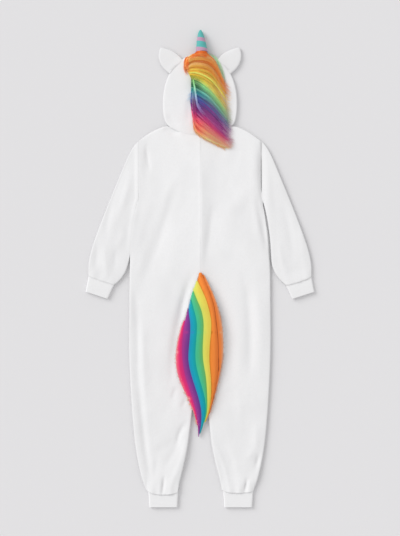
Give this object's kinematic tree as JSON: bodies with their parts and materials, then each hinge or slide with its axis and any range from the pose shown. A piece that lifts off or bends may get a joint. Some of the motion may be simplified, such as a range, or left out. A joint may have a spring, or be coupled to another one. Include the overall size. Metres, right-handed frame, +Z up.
{
  "type": "unicorn onesie",
  "caption": "Child's fleece unicorn onesie laid flat face down: hood with ears, horn and rainbow mane, long sleeves, cuffed legs and a rainbow tail.",
  "frame": {"origin": "bottom centre of the bounding box, on the surface the garment lies on", "axes": "+Z up off the surface, +Y along the garment from the ankles to the horn, +X towards the wearer's right"},
  "size_m": [0.6412, 1.3364, 0.0357],
  "materials": {
    "white_fleece": "short plush pile",
    "white_rib": "fine knitted rib",
    "horn_plush": "soft satin plush in teal and pink bands",
    "button": "smooth",
    "fur_orange": "long combed pile",
    "fur_yellow": "long combed pile",
    "fur_green": "long combed pile",
    "fur_teal": "long combed pile",
    "fur_purple": "long combed pile",
    "fur_magenta": "long combed pile",
    "fur_red": "long combed pile",
    "fur_amber": "long combed pile",
    "fur_pink": "long combed pile"
  },
  "bodies": {
    "root": {"back_left": "white_fleece", "back_right": "white_fleece", "front_left": "white_fleece", "front_right": "white_fleece", "sleeve_left": "white_fleece", "sleeve_right": "white_fleece", "hood_left": "white_fleece", "hood_right": "white_fleece", "ear_left_back": "white_fleece", "ear_left_front": "white_fleece", "ear_right_back": "white_fleece", "ear_right_front": "white_fleece", "tail_backing": "white_fleece", "wrist_cuff_left": "white_rib", "wrist_cuff_right": "white_rib", "ankle_cuff_left": "white_rib", "ankle_cuff_right": "white_rib", "horn": "horn_plush", "mane_orange": "fur_orange", "mane_yellow": "fur_yellow", "mane_green": "fur_green", "mane_teal": "fur_teal", "mane_purple": "fur_purple", "mane_magenta": "fur_magenta", "mane_red": "fur_red", "mane_amber": "fur_amber", "tail_pink": "fur_pink", "tail_purple": "fur_purple", "tail_teal": "fur_teal", "tail_green": "fur_green", "tail_yellow": "fur_yellow", "tail_orange": "fur_orange", "tail_amber": "fur_amber", "button_1": "button", "button_2": "button", "button_3": "button", "button_4": "button", "button_5": "button"}
  },
  "joints": []
}
